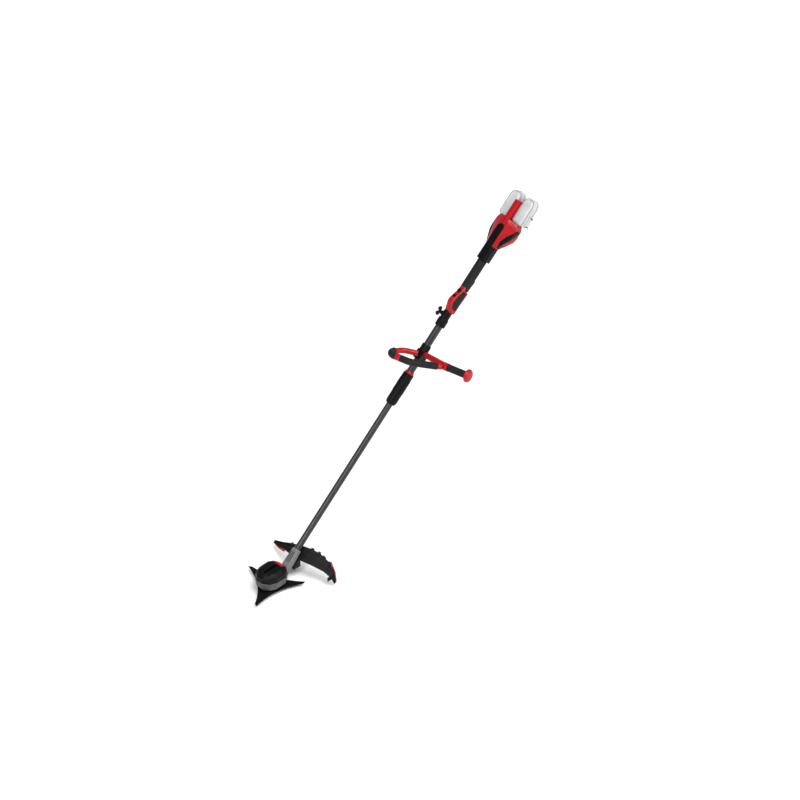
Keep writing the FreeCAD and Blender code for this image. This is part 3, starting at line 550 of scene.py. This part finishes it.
# ------------------------------------------------------------------ coupler: butterfly knob
def build_wing_knob():
    tilt = math.radians(12.0)
    axis = shaft_direction(0.0, math.cos(tilt), math.sin(tilt))
    base = on_shaft(1131.0, 20.3 * math.cos(tilt), 20.3 * math.sin(tilt))
    normal = axis.cross(ALONG).normalized()
    bm = bmesh.new()
    turned(bm, base, axis, [(0.0, 3.06), (0.0, 6.2), (0.6, 7.0), (6.5, 7.0), (9.5, 6.0), (12.0, 5.0),
                            (13.5, 3.0),
                            (14.0, 0.02), (11.6, 0.02), (11.6, 3.06)], 40)
    turn = Matrix((ALONG, normal, axis)).transposed().to_4x4()
    for side in (-1, 1):
        place = Matrix.Translation(base + axis * 0.0135 + ALONG * (side * 0.0095)) @ turn
        tip = Matrix.Rotation(side * math.radians(24.0), 4, "Y")
        bmesh.ops.create_uvsphere(bm, u_segments=28, v_segments=16, radius=1.0,
                                  matrix=place @ tip @ Matrix.Diagonal((0.0086, 0.0038, 0.0078, 1.0)))
    finish_mesh(bm, "wing_knob_butterfly", MATERIALS["black_plastic"], "wing_knob", "black_plastic",
                ("wing_knob",))


# ------------------------------------------------------------------ collar rings and battery latch ends
def rounded_section(u, corners, grow, radius=4.0, steps=5):
    """A ring of points round a mirrored outline of (y, n) corners, with rounded corners, grown outwards."""
    corners = [Vector(c) for c in corners]
    outline = corners + [Vector((-c.x, c.y)) for c in reversed(corners)]
    middle = sum(outline, Vector((0.0, 0.0))) / len(outline)
    ring = []
    for index, corner in enumerate(outline):
        before = (outline[index - 1] - corner).normalized()
        after = (outline[(index + 1) % len(outline)] - corner).normalized()
        for step in range(steps + 1):
            share = step / steps
            point = corner + before * radius * (1.0 - share) ** 2 + after * radius * share ** 2
            point = point + (point - middle).normalized() * grow
            ring.append(on_shaft(u, point.x, point.y))
    return ring


def build_collar_rings():
    corners = ((15.6, 12.5), (22.2, 4.0), (22.2, -22.6), (15.0, -30.0))
    bm = bmesh.new()
    for u in (1371.5, 1379.0, 1386.5, 1394.0):
        loops = [rounded_section(u, corners, -1.2), rounded_section(u + 0.8, corners, 1.3),
                 rounded_section(u + 3.6, corners, 1.3), rounded_section(u + 4.4, corners, -1.2)]
        rows = [[bm.verts.new(point) for point in loop] for loop in loops]
        count = len(rows[0])
        for first, second in zip(rows, rows[1:] + rows[:1]):
            for step in range(count):
                after = (step + 1) % count
                bm.faces.new((first[step], first[after], second[after], second[step]))
    finish_mesh(bm, "collar_rings", MATERIALS["black_plastic"], "handle", "black_plastic")


LATCH_START = 1552.0         # along the shaft
LATCH_FACE = 63.0            # the latches' outer faces, from the middle plane


def build_latch_ends():
    for side, word in ((-1, "left"), (1, "right")):
        bm = bmesh.new()
        for start in (0.0, 34.5):
            u0 = LATCH_START + start
            face = side * LATCH_FACE
            corners = [on_shaft(u0, face, -50.5), on_shaft(u0 + 3.5, face, -50.5),
                       on_shaft(u0 + 3.5, face, -33.5), on_shaft(u0, face, -33.5)]
            slab(bm, corners if side < 0 else corners[::-1], 1.2)
        round_edges(bm, 0.4)
        finish_mesh(bm, "latch_ends_" + word, MATERIALS["black_plastic"], "latch_" + word, "black_plastic")


# ------------------------------------------------------------------ seams moulded round the two battery cases
SEAM_HEIGHTS = (-14.0, -42.0)


def section_loops(node, point, normal):
    """The closed outlines, in order, where a plane cuts the CAD piece."""
    bm = bmesh.new()
    bm.from_mesh(NODES[node].data)
    bmesh.ops.remove_doubles(bm, verts=bm.verts, dist=SAME_POINT)
    everything = bm.verts[:] + bm.edges[:] + bm.faces[:]
    cut = bmesh.ops.bisect_plane(bm, geom=everything, plane_co=point, plane_no=normal, dist=1e-7)["geom_cut"]
    edges = [item for item in cut if isinstance(item, bmesh.types.BMEdge)]
    links = {}
    for edge in edges:
        for vert, other in (edge.verts, reversed(edge.verts)):
            links.setdefault(vert, []).append(other)
    loops = []
    while links:
        start = next(iter(links))
        loop, vert = [], start
        while vert in links:
            loop.append(vert.co.copy())
            following = [other for other in links.pop(vert) if other in links]
            if not following:
                break
            vert = following[0]
        loops.append(loop)
    bm.free()
    return loops


def length_along(loop):
    places = [point.dot(ALONG) for point in loop]
    return max(places) - min(places)


def seam_ring(bm, loop, normal, half_width, proud, depth=0.8):
    """A low rib that follows a closed outline."""
    points = [point for index, point in enumerate(loop) if (point - loop[index - 1]).length > 2e-4]
    middle = sum(points, Vector((0.0, 0.0, 0.0))) / len(points)
    rows = []
    for index, point in enumerate(points):
        tangent = (points[(index + 1) % len(points)] - points[index - 1]).normalized()
        outwards = tangent.cross(normal)
        if outwards.dot(point - middle) < 0:
            outwards = -outwards
        profile = ((-depth, -half_width), (proud, -half_width * 0.6), (proud, half_width * 0.6),
                   (-depth, half_width))
        rows.append([bm.verts.new(point + outwards * (reach / 1000.0) + normal * (rise / 1000.0))
                     for reach, rise in profile])
    for first, second in zip(rows, rows[1:] + rows[:1]):
        for corner in range(4):
            after = (corner + 1) % 4
            bm.faces.new((first[corner], first[after], second[after], second[corner]))


def build_pack_seams():
    for word in ("left", "right"):
        bm = bmesh.new()
        for height in SEAM_HEIGHTS:
            loops = section_loops("battery_case_" + word, on_shaft(1600.0, 0.0, height), ABOVE)
            outer = max(loops, key=length_along)
            seam_ring(bm, outer, ABOVE, 2.0, 0.6)
        finish_mesh(bm, "battery_seams_" + word, PACK_RIM, "battery_" + word, "pack_plastic")


build_head_details()
build_guard_details()
build_sleeve_ribs()
build_bar()
build_wing_knob()
build_collar_rings()
build_latch_ends()
build_pack_seams()


# ------------------------------------------------------------------ stage, light and camera
def build_stage():
    mesh = bpy.data.meshes.new("floor")
    reach = 40.0
    corners = [(-reach, -reach, 0), (reach, -reach, 0), (reach, reach, 0), (-reach, reach, 0)]
    mesh.from_pydata(corners, [], [(0, 1, 2, 3)])
    floor = bpy.data.objects.new("floor", mesh)
    bpy.context.scene.collection.objects.link(floor)
    n = Nodes("floor_white")
    n.link(n.ramp(n.noise(0.6, 2.0), ((0.3, (0.93, 0.93, 0.93, 1.0)), (0.7, (0.96, 0.96, 0.96, 1.0)))),
           n.shader.inputs["Base Color"])
    n.shader.inputs["Roughness"].default_value = 0.9
    mesh.materials.append(n.material)

    bpy.context.scene.view_settings.view_transform = "Standard"
    world = bpy.data.worlds.new("studio")
    bpy.context.scene.world = world
    world.use_nodes = True
    world.node_tree.nodes["Background"].inputs["Color"].default_value = (1.0, 1.0, 1.0, 1.0)
    world.node_tree.nodes["Background"].inputs["Strength"].default_value = 0.27

    sun = bpy.data.lights.new("soft_key", "SUN")
    sun.energy = 2.9
    sun.angle = math.radians(45.0)
    lamp = bpy.data.objects.new("soft_key", sun)
    lamp.rotation_euler = Vector((0.05, -0.42, 1.0)).to_track_quat("Z", "Y").to_euler()
    bpy.context.scene.collection.objects.link(lamp)

    centre = (cad_box[0] + cad_box[1]) / 2
    for name, offset, size, power in (("strip_left", (-2.4, -0.4, 1.6), 0.5, 34.0),
                                      ("strip_front", (0.9, -2.6, 1.7), 0.5, 28.0)):
        light = bpy.data.lights.new(name, "AREA")
        light.shape = "RECTANGLE"
        light.energy = power
        light.size = size
        light.size_y = size * 3.0
        lamp = bpy.data.objects.new(name, light)
        lamp.location = centre + Vector(offset)
        lamp.rotation_euler = (centre - lamp.location).to_track_quat("-Z", "Y").to_euler()
        bpy.context.scene.collection.objects.link(lamp)


def build_camera():
    azimuth, elevation = math.radians(-43.8), math.radians(41.0)
    right = Vector((math.cos(azimuth), math.sin(azimuth), 0.0))
    back = Vector((math.sin(azimuth) * math.cos(elevation), -math.cos(azimuth) * math.cos(elevation),
                   math.sin(elevation)))
    up = back.cross(right)
    camera = bpy.data.cameras.new("camera")
    camera.type = "ORTHO"
    camera.ortho_scale = 2.88
    camera.clip_end = 100.0
    holder = bpy.data.objects.new("camera", camera)
    holder.location = Vector((0.0, 0.0, 0.016)) + right * 0.468 + up * 0.665 + back * 6.0
    holder.rotation_euler = (math.pi / 2 - elevation, 0.0, azimuth)
    bpy.context.scene.collection.objects.link(holder)
    bpy.context.scene.camera = holder


build_stage()
build_camera()
